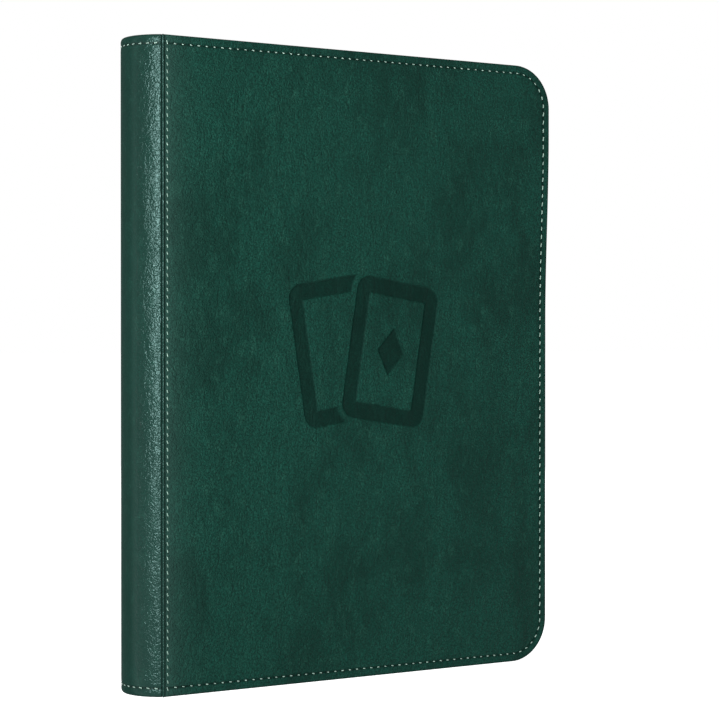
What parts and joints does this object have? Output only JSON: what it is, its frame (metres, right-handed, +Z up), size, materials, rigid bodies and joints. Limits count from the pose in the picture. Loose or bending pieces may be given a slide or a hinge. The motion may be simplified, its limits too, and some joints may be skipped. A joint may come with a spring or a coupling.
{
  "type": "zip-round trading card binder",
  "caption": "Zip-round card binder: rounded leather spine, two hinged stiff covers, side-loading nine-pocket pages, zip slider with pull.",
  "frame": {"origin": "middle of the closed binder's base, where it stands on its bottom edges", "axes": "+Z up along the spine, -X towards the spine, -Y towards the front cover"},
  "size_m": [0.27, 0.04, 0.35],
  "materials": {
    "leather": "pebbled green synthetic leather, satin",
    "greyboard": "pressed greyboard, matt",
    "lining_fabric": "fine woven black lining",
    "zip_tape": "herringbone tape, dark green",
    "zip_teeth": "moulded teeth, satin",
    "slider_metal": "gunmetal plated zinc",
    "page_core": "black polypropylene sheet",
    "pocket_film": "clear polypropylene film"
  },
  "bodies": {
    "spine": {"spine_skin": "leather", "spine_board": "greyboard", "spine_lining": "lining_fabric", "seam_welts": "leather", "page_binding": "lining_fabric", "zip_tails": "zip_tape", "zip_tail_chains": "zip_teeth", "zip_end_tabs": "leather"},
    "front_cover": {"front_skin": "leather", "front_board": "greyboard", "front_lining": "lining_fabric", "front_zip_tape": "zip_tape", "front_zip_chain": "zip_teeth"},
    "back_cover": {"back_skin": "leather", "back_board": "greyboard", "back_lining": "lining_fabric", "back_zip_tape": "zip_tape", "back_zip_chain": "zip_teeth"},
    "slider": {"zip_slider": "slider_metal"},
    "pull": {"zip_pull": "slider_metal"},
    "page_body_01": {"page_01": "page_core", "page_01_pockets": "pocket_film"},
    "page_body_02": {"page_02": "page_core", "page_02_pockets": "pocket_film"},
    "page_body_03": {"page_03": "page_core", "page_03_pockets": "pocket_film"},
    "page_body_04": {"page_04": "page_core", "page_04_pockets": "pocket_film"},
    "page_body_05": {"page_05": "page_core", "page_05_pockets": "pocket_film"},
    "page_body_06": {"page_06": "page_core", "page_06_pockets": "pocket_film"},
    "page_body_07": {"page_07": "page_core", "page_07_pockets": "pocket_film"},
    "page_body_08": {"page_08": "page_core", "page_08_pockets": "pocket_film"},
    "page_body_09": {"page_09": "page_core", "page_09_pockets": "pocket_film"},
    "page_body_10": {"page_10": "page_core", "page_10_pockets": "pocket_film"},
    "page_body_11": {"page_11": "page_core", "page_11_pockets": "pocket_film"},
    "page_body_12": {"page_12": "page_core", "page_12_pockets": "pocket_film"},
    "page_body_13": {"page_13": "page_core", "page_13_pockets": "pocket_film"},
    "page_body_14": {"page_14": "page_core", "page_14_pockets": "pocket_film"},
    "page_body_15": {"page_15": "page_core", "page_15_pockets": "pocket_film"},
    "page_body_16": {"page_16": "page_core", "page_16_pockets": "pocket_film"},
    "page_body_17": {"page_17": "page_core", "page_17_pockets": "pocket_film"},
    "page_body_18": {"page_18": "page_core", "page_18_pockets": "pocket_film"},
    "page_body_19": {"page_19": "page_core", "page_19_pockets": "pocket_film"},
    "page_body_20": {"page_20": "page_core", "page_20_pockets": "pocket_film"}
  },
  "joints": [
    {"name": "front_cover_hinge", "type": "hinge", "parent": "spine", "child": "front_cover", "pos_m": [-0.123, -0.0193, 0.175], "axis": [0, 0, -1], "range_deg": [0, 90]},
    {"name": "back_cover_hinge", "type": "hinge", "parent": "spine", "child": "back_cover", "pos_m": [-0.123, 0.0193, 0.175], "axis": [0, 0, 1], "range_deg": [0, 90]},
    {"name": "zip_slide", "type": "slide", "parent": "spine", "child": "slider", "axis": [1, 0, 0], "range_m": [0, 0.0135]},
    {"name": "pull_pivot", "type": "hinge", "parent": "slider", "child": "pull", "pos_m": [-0.1128, 0, 0.3489], "axis": [0, -1, 0], "range_deg": [0, 165]},
    {"name": "page_01_turn", "type": "hinge", "parent": "spine", "child": "page_body_01", "pos_m": [-0.114, -0.01425, 0.175], "axis": [0, 0, -1], "range_deg": [0, 70.7]},
    {"name": "page_02_turn", "type": "hinge", "parent": "spine", "child": "page_body_02", "pos_m": [-0.114, -0.01275, 0.175], "axis": [0, 0, -1], "range_deg": [0, 63.5]},
    {"name": "page_03_turn", "type": "hinge", "parent": "spine", "child": "page_body_03", "pos_m": [-0.114, -0.01125, 0.175], "axis": [0, 0, -1], "range_deg": [0, 56.3]},
    {"name": "page_04_turn", "type": "hinge", "parent": "spine", "child": "page_body_04", "pos_m": [-0.114, -0.00975, 0.175], "axis": [0, 0, -1], "range_deg": [0, 49.1]},
    {"name": "page_05_turn", "type": "hinge", "parent": "spine", "child": "page_body_05", "pos_m": [-0.114, -0.00825, 0.175], "axis": [0, 0, -1], "range_deg": [0, 41.9]},
    {"name": "page_06_turn", "type": "hinge", "parent": "spine", "child": "page_body_06", "pos_m": [-0.114, -0.00675, 0.175], "axis": [0, 0, -1], "range_deg": [0, 34.7]},
    {"name": "page_07_turn", "type": "hinge", "parent": "spine", "child": "page_body_07", "pos_m": [-0.114, -0.00525, 0.175], "axis": [0, 0, -1], "range_deg": [0, 27.5]},
    {"name": "page_08_turn", "type": "hinge", "parent": "spine", "child": "page_body_08", "pos_m": [-0.114, -0.00375, 0.175], "axis": [0, 0, -1], "range_deg": [0, 20.3]},
    {"name": "page_09_turn", "type": "hinge", "parent": "spine", "child": "page_body_09", "pos_m": [-0.114, -0.00225, 0.175], "axis": [0, 0, -1], "range_deg": [0, 13.1]},
    {"name": "page_10_turn", "type": "hinge", "parent": "spine", "child": "page_body_10", "pos_m": [-0.114, -0.00075, 0.175], "axis": [0, 0, -1], "range_deg": [0, 5.9]},
    {"name": "page_11_turn", "type": "hinge", "parent": "spine", "child": "page_body_11", "pos_m": [-0.114, 0.00075, 0.175], "axis": [0, 0, 1], "range_deg": [0, 5.9]},
    {"name": "page_12_turn", "type": "hinge", "parent": "spine", "child": "page_body_12", "pos_m": [-0.114, 0.00225, 0.175], "axis": [0, 0, 1], "range_deg": [0, 13.1]},
    {"name": "page_13_turn", "type": "hinge", "parent": "spine", "child": "page_body_13", "pos_m": [-0.114, 0.00375, 0.175], "axis": [0, 0, 1], "range_deg": [0, 20.3]},
    {"name": "page_14_turn", "type": "hinge", "parent": "spine", "child": "page_body_14", "pos_m": [-0.114, 0.00525, 0.175], "axis": [0, 0, 1], "range_deg": [0, 27.5]},
    {"name": "page_15_turn", "type": "hinge", "parent": "spine", "child": "page_body_15", "pos_m": [-0.114, 0.00675, 0.175], "axis": [0, 0, 1], "range_deg": [0, 34.7]},
    {"name": "page_16_turn", "type": "hinge", "parent": "spine", "child": "page_body_16", "pos_m": [-0.114, 0.00825, 0.175], "axis": [0, 0, 1], "range_deg": [0, 41.9]},
    {"name": "page_17_turn", "type": "hinge", "parent": "spine", "child": "page_body_17", "pos_m": [-0.114, 0.00975, 0.175], "axis": [0, 0, 1], "range_deg": [0, 49.1]},
    {"name": "page_18_turn", "type": "hinge", "parent": "spine", "child": "page_body_18", "pos_m": [-0.114, 0.01125, 0.175], "axis": [0, 0, 1], "range_deg": [0, 56.3]},
    {"name": "page_19_turn", "type": "hinge", "parent": "spine", "child": "page_body_19", "pos_m": [-0.114, 0.01275, 0.175], "axis": [0, 0, 1], "range_deg": [0, 63.5]},
    {"name": "page_20_turn", "type": "hinge", "parent": "spine", "child": "page_body_20", "pos_m": [-0.114, 0.01425, 0.175], "axis": [0, 0, 1], "range_deg": [0, 70.7]}
  ],
  "couplings": [
    {"joint": "page_01_turn", "follows": "front_cover_hinge", "ratio": 0.78},
    {"joint": "page_02_turn", "follows": "front_cover_hinge", "ratio": 0.7},
    {"joint": "page_03_turn", "follows": "front_cover_hinge", "ratio": 0.62},
    {"joint": "page_04_turn", "follows": "front_cover_hinge", "ratio": 0.54},
    {"joint": "page_05_turn", "follows": "front_cover_hinge", "ratio": 0.46},
    {"joint": "page_06_turn", "follows": "front_cover_hinge", "ratio": 0.38},
    {"joint": "page_07_turn", "follows": "front_cover_hinge", "ratio": 0.3},
    {"joint": "page_08_turn", "follows": "front_cover_hinge", "ratio": 0.22},
    {"joint": "page_09_turn", "follows": "front_cover_hinge", "ratio": 0.14},
    {"joint": "page_10_turn", "follows": "front_cover_hinge", "ratio": 0.06},
    {"joint": "page_11_turn", "follows": "back_cover_hinge", "ratio": 0.06},
    {"joint": "page_12_turn", "follows": "back_cover_hinge", "ratio": 0.14},
    {"joint": "page_13_turn", "follows": "back_cover_hinge", "ratio": 0.22},
    {"joint": "page_14_turn", "follows": "back_cover_hinge", "ratio": 0.3},
    {"joint": "page_15_turn", "follows": "back_cover_hinge", "ratio": 0.38},
    {"joint": "page_16_turn", "follows": "back_cover_hinge", "ratio": 0.46},
    {"joint": "page_17_turn", "follows": "back_cover_hinge", "ratio": 0.54},
    {"joint": "page_18_turn", "follows": "back_cover_hinge", "ratio": 0.62},
    {"joint": "page_19_turn", "follows": "back_cover_hinge", "ratio": 0.7},
    {"joint": "page_20_turn", "follows": "back_cover_hinge", "ratio": 0.78}
  ]
}
